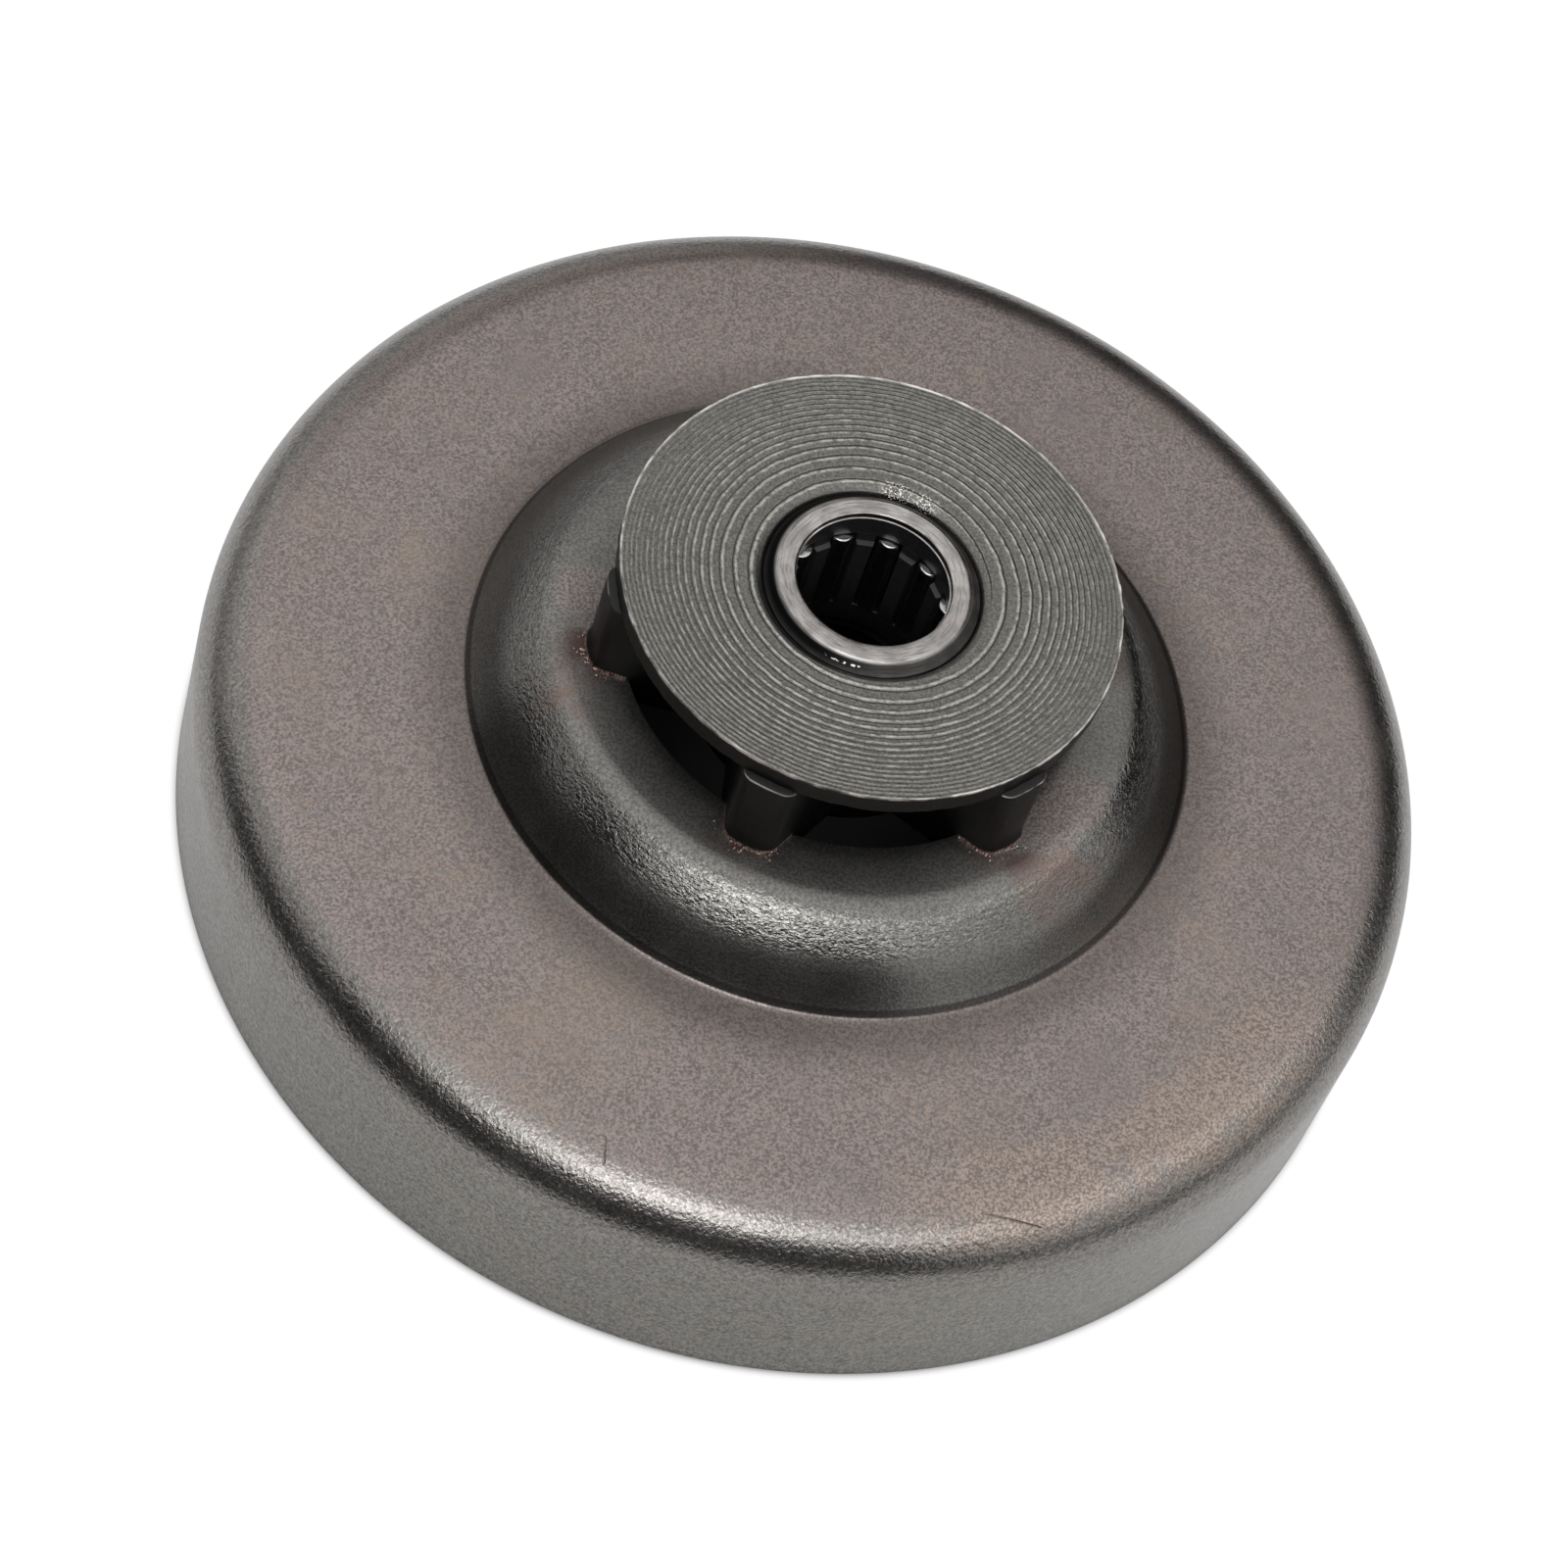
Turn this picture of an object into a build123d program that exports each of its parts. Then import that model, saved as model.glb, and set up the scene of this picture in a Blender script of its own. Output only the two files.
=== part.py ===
from build123d import *
import math
import os

# A chainsaw clutch drum with a brazed spur sprocket and a caged needle bearing.
# Millimetres. The open rim stands on z = 0, the sprocket points up, one tooth lies on +X.

# Drum: a deep-drawn cup with a raised dome round its centre hole
drum_outer_diameter = 76.0
drum_height = 14.9
sheet_thickness = 2.0
drum_corner_radius = 4.6
rim_chamfer = 0.3
dome_base_diameter = 44.8
dome_height = 5.2
dome_skirt_angle = 54.0
dome_brow_angle = 40.0
dome_brow_drop = 1.8
dome_brow_radius = 7.0
dome_shoulder_radius = 3.6
dome_root_radius = 0.5

# Sprocket: a sintered star of teeth under a turned flange
tooth_count = 6
tooth_tip_diameter = 31.2
tooth_tip_width = 3.0
tooth_flank_angle = 18.0
tooth_tip_round = 0.8
tooth_length = 6.1
gullet_root_diameter = 18.4
gullet_fillet = 2.2
flange_diameter = 30.2
flange_thickness = 1.3
spigot_diameter = 27.2
hub_sink_width = 1.0
hub_sink_depth = 0.4
hub_bottom_chamfer = 0.4
hub_tail_cover = 0.3

# Drawn-cup needle bearing for the crankshaft
shaft_diameter = 9.0
needle_count = 11
needle_diameter = 1.5
needle_length = 6.9
needle_end_chamfer = 0.15
needle_start_angle = 65.0
shell_wall = 0.47
shell_lip = 0.55
shell_corner_radius = 0.9
bearing_stand_out = 0.38
cage_ring_height = 1.75
cage_bar_step = 0.3
cage_bar_setback = 0.6

# Fits
braze_gap = 0.05
bearing_seat_gap = 0.005
lip_shaft_clearance = 0.1
cage_shaft_clearance = 0.1
needle_race_clearance = 0.03
needle_pocket_clearance = 0.08
needle_end_clearance = 0.1
cage_race_clearance = 0.18
cage_end_clearance = 0.15

# Radii that follow from the sizes above
drum_radius = drum_outer_diameter / 2
dome_base_radius = dome_base_diameter / 2
brow_reach = dome_base_radius - (dome_height - dome_brow_drop) / math.tan(math.radians(dome_skirt_angle))
dome_top_radius = brow_reach - dome_brow_drop / math.tan(math.radians(dome_brow_angle))
tip_radius = tooth_tip_diameter / 2
root_radius = gullet_root_diameter / 2
spigot_radius = spigot_diameter / 2
drum_hole_radius = spigot_radius + braze_gap
shaft_radius = shaft_diameter / 2
needle_radius = needle_diameter / 2
needle_pitch_radius = shaft_radius + needle_radius
race_radius = shaft_radius + needle_diameter + needle_race_clearance
shell_radius = race_radius + shell_wall
seat_radius = shell_radius + bearing_seat_gap
lip_radius = shaft_radius + lip_shaft_clearance
cage_bar_radius = shaft_radius + cage_shaft_clearance
cage_ring_radius = cage_bar_radius + cage_bar_step
cage_outer_radius = race_radius - cage_race_clearance

# Heights that follow from the sizes above
land_height = drum_height + dome_height
spigot_bottom = land_height - sheet_thickness
flange_bottom = land_height + tooth_length
flange_top = flange_bottom + flange_thickness
cage_length = needle_length + 2 * (needle_end_clearance + cage_ring_height)
shell_length = cage_length + 2 * (cage_end_clearance + shell_lip)
shell_top = flange_top + bearing_stand_out
shell_bottom = shell_top - shell_length
bearing_middle = (shell_top + shell_bottom) / 2
hub_bottom = shell_bottom - hub_tail_cover


def turned(points, radii):
    """A solid of revolution about Z from (radius, height) corners, each with its own fillet."""
    with BuildPart() as solid:
        with BuildSketch(Plane.XZ):
            with BuildLine():
                FilletPolyline(*points, radius=radii, close=True)
            make_face()
        revolve(axis=Axis.Z)
    return solid.part


def clutch_drum():
    """The pressed cup: wall, flat ring, dome skirt, rounded brow and the land round the hole."""
    skirt = math.radians(dome_skirt_angle)
    brow = math.radians(dome_brow_angle)
    inner_radius = drum_radius - sheet_thickness
    under_ring = drum_height - sheet_thickness
    brow_height = land_height - dome_brow_drop
    brow_inset = sheet_thickness / math.cos((skirt - brow) / 2)
    brow_lean = (skirt + brow) / 2
    under_brow = (
        brow_reach - brow_inset * math.sin(brow_lean),
        brow_height - brow_inset * math.cos(brow_lean),
    )
    corners = [
        ((drum_radius - rim_chamfer, 0), 0),
        ((drum_radius, rim_chamfer), 0),
        ((drum_radius, drum_height), drum_corner_radius),
        ((dome_base_radius, drum_height), dome_root_radius),
        ((brow_reach, brow_height), dome_brow_radius),
        ((dome_top_radius, land_height), dome_shoulder_radius),
        ((drum_hole_radius, land_height), 0),
        ((drum_hole_radius, spigot_bottom), 0),
        (
            (dome_top_radius - sheet_thickness * math.tan(brow / 2), spigot_bottom),
            dome_shoulder_radius - sheet_thickness,
        ),
        (under_brow, dome_brow_radius - sheet_thickness),
        (
            (dome_base_radius - sheet_thickness * math.tan(skirt / 2), under_ring),
            dome_root_radius + sheet_thickness,
        ),
        ((inner_radius, under_ring), drum_corner_radius - sheet_thickness),
        ((inner_radius, rim_chamfer), 0),
        ((inner_radius + rim_chamfer, 0), 0),
    ]
    return turned([point for point, _ in corners], [radius for _, radius in corners])


def tooth_star():
    """The sprocket's outline: tapered teeth round the hub, with filleted gullets and round tips."""
    reach = tip_radius + tooth_tip_round
    taper = math.tan(math.radians(tooth_flank_angle))
    outer_half = tooth_tip_width / 2 - (reach - tip_radius) * taper
    inner_half = tooth_tip_width / 2 + tip_radius * taper
    with BuildSketch() as star:
        Circle(root_radius)
        with PolarLocations(0, tooth_count):
            Polygon(
                (0, -inner_half), (reach, -outer_half), (reach, outer_half), (0, inner_half), align=None
            )
        with BuildSketch(mode=Mode.INTERSECT):
            Circle(tip_radius)
        corners = star.vertices().group_by(SortBy.DISTANCE)
        fillet(corners[-1], radius=tooth_tip_round)
        fillet(star.vertices().group_by(SortBy.DISTANCE)[0], radius=gullet_fillet)
    return star.sketch


def sprocket():
    """Hub, teeth and flange in one piece, with a spigot of tooth ends that fills the drum's hole."""
    star = tooth_star()
    bore = [
        (0, hub_bottom),
        (seat_radius + hub_bottom_chamfer, hub_bottom),
        (seat_radius, hub_bottom + hub_bottom_chamfer),
        (seat_radius, flange_top - hub_sink_depth),
        (seat_radius + hub_sink_width, flange_top),
        (0, flange_top),
    ]
    with BuildPart() as piece:
        with BuildSketch(Plane.XY.offset(spigot_bottom)):
            add(star)
            Circle(spigot_radius, mode=Mode.INTERSECT)
        extrude(amount=sheet_thickness)
        with BuildSketch(Plane.XY.offset(land_height)):
            add(star)
        extrude(amount=tooth_length)
        with BuildSketch(Plane.XY.offset(flange_bottom)):
            Circle(flange_diameter / 2)
        extrude(amount=flange_thickness)
        with BuildSketch(Plane.XY.offset(hub_bottom)):
            Circle(root_radius)
        extrude(amount=spigot_bottom - hub_bottom)
        chamfer(piece.faces().sort_by(Axis.Z)[0].edges(), length=hub_bottom_chamfer)
        add(turned(bore, [0] * len(bore)), mode=Mode.SUBTRACT)
    return piece.part


def bearing_shell():
    """The drawn cup of the bearing: a thin race with a turned-in lip at each end."""
    corners = [
        ((shell_radius, shell_bottom), shell_corner_radius),
        ((shell_radius, shell_top), shell_corner_radius),
        ((lip_radius, shell_top), 0),
        ((lip_radius, shell_top - shell_lip), 0),
        ((race_radius, shell_top - shell_lip), 0),
        ((race_radius, shell_bottom + shell_lip), 0),
        ((lip_radius, shell_bottom + shell_lip), 0),
        ((lip_radius, shell_bottom), 0),
    ]
    return turned([point for point, _ in corners], [radius for _, radius in corners])


def needle_places():
    """One location on the pitch circle for each needle."""
    return PolarLocations(needle_pitch_radius, needle_count, start_angle=needle_start_angle)


def needle_cage():
    """Two rings joined by bars, with a straight pocket for each needle and bars stepped inwards."""
    half = cage_length / 2
    bar_half = needle_length / 2 - cage_bar_setback
    section = [
        (cage_outer_radius, bearing_middle - half),
        (cage_outer_radius, bearing_middle + half),
        (cage_ring_radius, bearing_middle + half),
        (cage_ring_radius, bearing_middle + bar_half),
        (cage_bar_radius, bearing_middle + bar_half),
        (cage_bar_radius, bearing_middle - bar_half),
        (cage_ring_radius, bearing_middle - bar_half),
        (cage_ring_radius, bearing_middle - half),
    ]
    with BuildPart() as cage:
        add(turned(section, [0] * len(section)))
        with Locations((0, 0, bearing_middle)):
            with needle_places():
                Box(
                    needle_diameter + 2 * cage_race_clearance,
                    needle_diameter + 2 * needle_pocket_clearance,
                    needle_length + 2 * needle_end_clearance,
                    mode=Mode.SUBTRACT,
                )
    return cage.part


def needles():
    """The rolling needles, each in its own pocket."""
    with BuildPart() as one:
        Cylinder(needle_radius, needle_length)
        chamfer(one.edges().filter_by(GeomType.CIRCLE), length=needle_end_chamfer)
    lift = Location((0, 0, bearing_middle))
    return [lift * place * one.part for place in needle_places()]


os.makedirs("parts", exist_ok=True)
export_step(clutch_drum(), "parts/clutch_drum.step")
export_step(sprocket(), "parts/sprocket.step")
export_step(bearing_shell(), "parts/bearing_shell.step")
export_step(needle_cage(), "parts/needle_cage.step")
for number, needle in enumerate(needles(), start=1):
    export_step(needle, f"parts/needle_{number:02d}.step")
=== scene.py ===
"""Looks of a chainsaw clutch drum with a brazed spur sprocket and a needle bearing.

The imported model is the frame: +Z is the crankshaft axis, the open rim stands on z = 0 and a tooth lies on +X.
Meshes are in metres. Sizes in the classes below are millimetres, as on the maker's drawing.
"""

import logging
import math
import random
from dataclasses import dataclass
from enum import Enum
from typing import Any, Callable, Sequence

import bmesh
import bpy
from bmesh.types import BMEdge, BMesh, BMVert
from mathutils import Matrix, Quaternion, Vector, noise


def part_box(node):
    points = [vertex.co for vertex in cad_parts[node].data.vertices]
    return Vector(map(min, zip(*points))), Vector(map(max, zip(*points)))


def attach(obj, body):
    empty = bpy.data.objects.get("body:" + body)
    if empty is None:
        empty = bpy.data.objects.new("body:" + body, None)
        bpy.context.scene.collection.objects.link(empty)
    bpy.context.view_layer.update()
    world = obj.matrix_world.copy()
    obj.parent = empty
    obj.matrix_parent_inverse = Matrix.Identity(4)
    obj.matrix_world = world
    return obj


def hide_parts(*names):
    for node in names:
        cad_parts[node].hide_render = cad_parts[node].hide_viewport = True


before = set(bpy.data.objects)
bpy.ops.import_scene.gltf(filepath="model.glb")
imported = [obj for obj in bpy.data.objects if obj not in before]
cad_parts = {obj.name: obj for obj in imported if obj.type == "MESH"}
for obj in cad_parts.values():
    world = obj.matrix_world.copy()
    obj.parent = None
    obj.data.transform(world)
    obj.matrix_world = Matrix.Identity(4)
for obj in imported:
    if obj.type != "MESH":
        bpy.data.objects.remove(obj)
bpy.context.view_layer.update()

MM = 0.001
NEAR = 0.01 * MM
MERGE_REACH = 0.001 * MM
FULL_TURN = 2 * math.pi
LOG = logging.getLogger("clutch_drum")

Colour = tuple[float, float, float, float]
Pair = tuple[float, float]
Triple = tuple[float, float, float]
Spot = Triple


class Slot(Enum):
    """Names of material slots, which nothing in this script uses."""

    DRUM = "phosphated_steel"
    SPROCKET = "sintered_steel"
    SHELL = "bearing_steel"
    CAGE = "black_cage"
    NEEDLE = "needle_steel"


class Body(Enum):
    """The bodies that the pieces ride on; each needle rides on a body of its own name."""

    DRUM = "drum"
    CAGE = "cage"


class Affect(Enum):
    """What a bevel rounds."""

    VERTICES = "VERTICES"
    EDGES = "EDGES"


def grey(level: float, red: float = 1.0, green: float = 1.0, blue: float = 1.0) -> Colour:
    """Gives a linear colour from one level and a tint."""
    return (level * red, level * green, level * blue, 1.0)


class Value:
    """A shader number or vector: it wraps an output socket, so that arithmetic adds Math nodes."""

    def __init__(self, web: "Web", socket: bpy.types.NodeSocket) -> None:
        """Keeps the node tree and the socket."""
        self.web = web
        self.socket = socket

    def math(self, operation: str, *operands: "Value | float") -> "Value":
        """Adds a Math node with this value as its first input and the operands after it."""
        return self.web.node("ShaderNodeMath", {"operation": operation}, dict(enumerate((self, *operands))))

    def __add__(self, other: "Value | float") -> "Value":
        """Adds."""
        return self.math("ADD", other)

    def __radd__(self, other: float) -> "Value":
        """Adds to a plain number."""
        return self.math("ADD", other)

    def __sub__(self, other: "Value | float") -> "Value":
        """Subtracts."""
        return self.math("SUBTRACT", other)

    def __rsub__(self, other: float) -> "Value":
        """Subtracts from a plain number."""
        return self.math("MULTIPLY_ADD", -1.0, other)

    def __mul__(self, other: "Value | float") -> "Value":
        """Multiplies."""
        return self.math("MULTIPLY", other)

    def __rmul__(self, other: float) -> "Value":
        """Multiplies a plain number."""
        return self.math("MULTIPLY", other)

    def __truediv__(self, other: "Value | float") -> "Value":
        """Divides."""
        return self.math("DIVIDE", other)

    def __rtruediv__(self, other: float) -> "Value":
        """Divides a plain number."""
        return self.math("POWER", -1.0) * other

    def rise(self, low: float, high: float) -> "Value":
        """Gives 0 below low, 1 above high and a smooth step between them."""
        settings = {"interpolation_type": "SMOOTHSTEP", "clamp": True}
        return self.web.node("ShaderNodeMapRange", settings, {0: self, 1: low, 2: high, 3: 0.0, 4: 1.0})

    def fall(self, low: float, high: float) -> "Value":
        """Gives 1 below low, 0 above high and a smooth step between them."""
        return 1.0 - self.rise(low, high)

    def between(self, low: float, high: float, soft: float) -> "Value":
        """Gives 1 from low to high, fading to 0 over a soft distance outside them."""
        return self.rise(low - soft, low) * self.fall(high, high + soft)

    def largest(self, other: "Value | float") -> "Value":
        """Gives the larger of two values."""
        return self.math("MAXIMUM", other)

    def sibling(self, output: int | str) -> "Value":
        """Gives another output of the same node."""
        return Value(self.web, self.socket.node.outputs[output])


class Web:
    """The node tree of one material or world, and a short way to add nodes to it."""

    def __init__(self, tree: bpy.types.NodeTree) -> None:
        """Clears the tree."""
        self.tree = tree
        tree.nodes.clear()

    def node(
        self, kind: str, settings: dict[str, Any], inputs: dict[int | str, Any], output: int | str | None = 0
    ) -> "Value | None":
        """Adds one node.

        Args:
            kind: The node's type.
            settings: The node's own settings, which are set first.
            inputs: Values or links, by the sockets' names or numbers.
            output: The output to hand back, or None for a node that has none.

        Returns:
            The output socket, wrapped, or None.
        """
        node = self.tree.nodes.new(kind)
        for key, setting in settings.items():
            setattr(node, key, setting)
        for key, given in inputs.items():
            if isinstance(given, Value):
                self.tree.links.new(given.socket, node.inputs[key])
            else:
                node.inputs[key].default_value = given
        return None if output is None else Value(self, node.outputs[output])

    def blend(self, share: "Value | float", first: "Value | Colour", second: "Value | Colour") -> Value:
        """Mixes two colours; a share of 1 gives the second."""
        settings = {"data_type": "RGBA", "clamp_factor": True}
        return self.node("ShaderNodeMix", settings, {0: share, 6: first, 7: second}, 2)

    def layered(self, base: "Value | Colour", *layers: tuple[Value, "Value | Colour"]) -> Value:
        """Lays colours over a base, one after the other.

        Args:
            base: The lowest colour.
            layers: Each layer's share, of which 1 hides all below it, and its colour.

        Returns:
            The colour that shows.
        """
        for share, colour in layers:
            base = self.blend(share, base, colour)
        return base

    def bump(self, height: Value, depth: float) -> Value:
        """Turns a height into a normal; a height of 1 stands for the depth in millimetres."""
        return self.node("ShaderNodeBump", {}, {"Strength": 1.0, "Distance": depth * MM, "Height": height})


class Place:
    """Where a shaded point lies on the object, in millimetres, and textures that are fixed to it."""

    def __init__(self, web: Web) -> None:
        """Adds the nodes for the point, its radius and its height.

        Args:
            web: The node tree to add them to.
        """
        self.web = web
        metres = web.node("ShaderNodeTexCoord", {}, {}, "Object")
        self.point = web.node("ShaderNodeVectorMath", {"operation": "SCALE"}, {0: metres, "Scale": 1 / MM})
        self.x = web.node("ShaderNodeSeparateXYZ", {}, {0: self.point})
        self.y = self.x.sibling(1)
        self.height = self.x.sibling(2)
        self.radius = self.distance(0.0, 0.0)

    def distance(self, x: float, y: float) -> Value:
        """Gives the distance from an upright line, in millimetres."""
        across, along = self.x - x, self.y - y
        return (across * across + along * along).math("SQRT")

    def facing(self, way: Pair) -> Value:
        """Gives the cosine of the angle round the axis between a point and a level direction."""
        return (self.x * way[0] + self.y * way[1]) / self.radius

    def _noise(self, point: Value, scale: float, detail: float, rough: float, twist: float) -> Value:
        """Adds a noise texture that is read at a point."""
        inputs = {"Vector": point, "Scale": scale, "Detail": detail, "Roughness": rough, "Distortion": twist}
        return self.web.node("ShaderNodeTexNoise", {"noise_dimensions": "3D"}, inputs)

    def grain(self, size: float, detail: float = 2.0, rough: float = 0.5, twist: float = 0.0) -> Value:
        """Gives noise between 0 and 1, with its largest lumps of a size in millimetres."""
        return self._noise(self.point, 1 / size, detail, rough, twist)

    def strokes(self, across: float, along: float, at: float) -> Value:
        """Gives noise between 0 and 1 in short strokes that run round the axis on a slope.

        Args:
            across: The strokes' width down the slope, in millimetres.
            along: Their length round the axis, in millimetres.
            at: The radius where that length holds, in millimetres.

        Returns:
            The noise.
        """
        turns = at / along
        run = {0: self.x / self.radius * turns, 1: self.y / self.radius * turns}
        run[2] = (self.radius - self.height) / across
        point = self.web.node("ShaderNodeCombineXYZ", {}, run)
        return self._noise(point, scale=1.0, detail=2.0, rough=0.5, twist=0.6)

    def spot(self, x: float, y: float, reach: float) -> Value:
        """Gives a soft round spot seen along Z, 1 at its middle and 0 past its reach."""
        return self.distance(x, y).fall(0.0, reach)

    def stroke(self, start: Pair, end: Pair, width: float) -> Value:
        """Gives a fine straight mark seen along Z.

        Args:
            start: Where it starts, in millimetres.
            end: Where it ends, in millimetres.
            width: Its width, in millimetres.

        Returns:
            A mask, 1 on the mark's line and 0 past its half width.
        """
        run = Vector(end) - Vector(start)
        way = run.normalized()
        along = (self.x - start[0]) * way.x + (self.y - start[1]) * way.y
        aside = ((self.x - start[0]) * -way.y + (self.y - start[1]) * way.x).math("ABSOLUTE")
        return aside.fall(0.0, width / 2) * along.between(0.0, run.length, width)


@dataclass(frozen=True)
class Finish:
    """A finish, which gives its material under its own name."""

    name: str

    def surface(self, web: Web) -> dict[str, Any]:
        """Gives the inputs of the Principled shader."""
        raise NotImplementedError

    def material(self) -> bpy.types.Material:
        """Builds the material.

        Returns:
            A material with one Principled shader.
        """
        made = bpy.data.materials.new(self.name)
        made.use_nodes = True
        web = Web(made.node_tree)
        shader = web.node("ShaderNodeBsdfPrincipled", {}, self.surface(web))
        web.node("ShaderNodeOutputMaterial", {}, {"Surface": shader}, None)
        return made


@dataclass(frozen=True)
class PhosphatedSteel(Finish):
    """Drawn sheet with a brown-grey phosphate skin: pebbled on the flat, wrinkled on the stretched dome.
    Painted shade darkens the ring next to the dome, the dome's lower skirt and root crease, the wrinkle creases
    and the land round the tooth feet.
    """

    ring_dark: Colour = grey(0.138, 1.13, 0.97, 0.91)
    ring_light: Colour = grey(0.285, 1.15, 0.965, 0.89)
    tan: Colour = grey(0.26, 1.2, 0.965, 0.78)
    plum: Colour = grey(0.2, 1.1, 0.94, 1.02)
    cool: Colour = grey(0.215, 1.0, 0.985, 1.0)
    # painted shade, laid over the ring next to the dome and over the dome's lower skirt
    root_shade: Colour = grey(0.06, 1.1, 0.97, 0.92)
    # near-black of the scratch marks, also used as painted shade in the dome's root crease and in the wrinkle
    # creases
    marks_and_shade: Colour = grey(0.015)
    wall_dark: Colour = grey(0.085, 1.0, 1.005, 0.93)
    wall_light: Colour = grey(0.26, 1.01, 1.005, 0.93)
    bend_dark: Colour = grey(0.14, 1.03, 1.0, 0.95)
    bend_light: Colour = grey(0.3, 1.03, 1.0, 0.95)
    streak: Colour = grey(0.22, 1.12, 1.0, 0.82)
    dome_dark: Colour = grey(0.13, 1.0, 1.0, 0.95)
    dome_light: Colour = grey(0.225, 1.03, 1.0, 0.94)
    blush: Colour = (0.2, 0.143, 0.122, 1.0)
    # a braze stain and painted shade on the land round the tooth feet, under the flange
    foot_stain_and_shade: Colour = (0.08, 0.04, 0.034, 1.0)
    worn_dark: Colour = grey(0.15, 1.17, 0.96, 0.84)
    worn_light: Colour = grey(0.33, 1.17, 0.955, 0.83)
    bare_dark: Colour = grey(0.13, 1.1, 0.97, 0.92)
    bare_light: Colour = grey(0.29, 1.12, 0.97, 0.91)
    # Where things lie
    dome_edge: float = 22.3
    dome_middle: float = 19.0
    wall_radius: float = 38.0
    corner_end: float = 10.3
    ring_level: float = 14.9
    land_level: float = 20.1
    drawn_low: float = 2.0
    tan_patches: tuple[Spot, ...] = ((31.4, -1.1, 4.5), (18.9, -29.6, 7.0))
    blush_patches: tuple[Spot, ...] = ((11.4, -13.8, 6.5), (-17.3, -3.2, 3.0))
    bare_patches: tuple[Spot, ...] = ((12.2, -11.6, 5.5), (-15.8, 4.2, 3.0))
    worn_way: Pair = (0.443, -0.896)
    worn_radii: Pair = (32.5, 36.6)
    worn_heights: Pair = (12.5, 14.0)
    teeth: int = 6
    foot_radius: float = 15.4
    foot_reach: float = 3.4
    scratches: tuple[tuple[Pair, Pair, float], ...] = (
        ((-16.98, -31.2), (-16.82, -29.8), 0.2),
        ((4.64, -34.83), (8.25, -35.44), 0.18),
    )
    # Sizes of the textures
    grit_size: float = 0.17
    relief_size: float = 0.3
    fleck_size: float = 0.5
    mottle_size: float = 2.6
    cloud_size: float = 12.0
    drawn_size: Pair = (0.5, 9.0)
    crinkle_size: Pair = (0.34, 0.46)
    crease_size: Pair = (0.6, 0.7)
    # How much of each layer shows
    plum_share: float = 0.5
    fleck_share: float = 0.45
    near_dome_shade_share: float = 0.5
    drawn_share: float = 0.35
    bend_share: float = 0.8
    worn_share: float = 0.9
    skirt_shade_share: float = 0.2
    dome_share: float = 0.95
    patch_share: float = 0.8
    root_shade_share: float = 0.6
    mark_share: float = 0.5
    crease_shade_share: float = 0.18
    # Relief, as parts of the bump's depth
    bump_depth: float = 0.04
    grit_relief: float = 0.28
    worn_relief: float = 0.35
    side_relief: float = 1.05
    crinkle_relief: float = 1.1
    crease_relief: float = 0.18
    mark_relief: float = 0.7
    # Roughness and what adds to it or takes from it
    roughness: float = 0.27
    mottle_dull: float = 0.1
    land_dull: float = 0.18
    flat_dull: float = 0.07
    stretched_gloss: float = 0.08
    worn_gloss: float = 0.06

    def _feet(self) -> list[Spot]:
        """Gives the spots at the feet of the teeth, where a braze stain and painted shade darken the land."""
        turns = [FULL_TURN * tooth / self.teeth for tooth in range(self.teeth)]
        return [(*(Vector((math.cos(t), math.sin(t))) * self.foot_radius), self.foot_reach) for t in turns]

    def _side(self, web: Web, place: Place, tone: Value, relief: Value) -> Value:
        """Gives the colour of the wall and of the bend above it.

        Args:
            web: The material's node tree.
            place: The shaded point.
            tone: The fine grit, from dark to light.
            relief: The coarser pebbles.

        Returns:
            The colour.
        """
        on_wall = place.height.fall(self.corner_end - 0.8, self.corner_end + 2.2)
        drawn = place.strokes(*self.drawn_size, self.wall_radius).rise(0.52, 0.7)
        drawn = drawn * place.height.between(self.drawn_low, self.corner_end, 1.5)
        hide = relief.rise(0.36, 0.64) * 0.45 + tone * 0.55
        wall = web.blend(hide, self.wall_dark, self.wall_light)
        wall = web.blend(drawn * self.drawn_share, wall, self.streak)
        return web.blend(on_wall, web.blend(hide, self.bend_dark, self.bend_light), wall)

    def surface(self, web: Web) -> dict[str, Any]:
        """Gives the inputs of the Principled shader.

        Args:
            web: The material's node tree.

        Returns:
            Values and links by the names of the sockets.
        """
        place = Place(web)
        ring, land, edge = self.ring_level, self.land_level, self.dome_edge
        on_dome = place.radius.fall(edge - 0.5, edge + 0.2)
        off_ring = place.height.fall(ring - 0.5, ring - 0.1)
        on_bend = place.height.fall(ring - 0.9, ring - 0.03)
        on_land = place.height.rise(land - 0.3, land - 0.05)
        skirt = place.height.fall(ring + 1.5, ring + 3.2)
        stretched = place.height.rise(ring + 2.6, ring + 3.8) * (1.0 - on_land)
        flat = (1.0 - off_ring) * (1.0 - on_dome)
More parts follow.
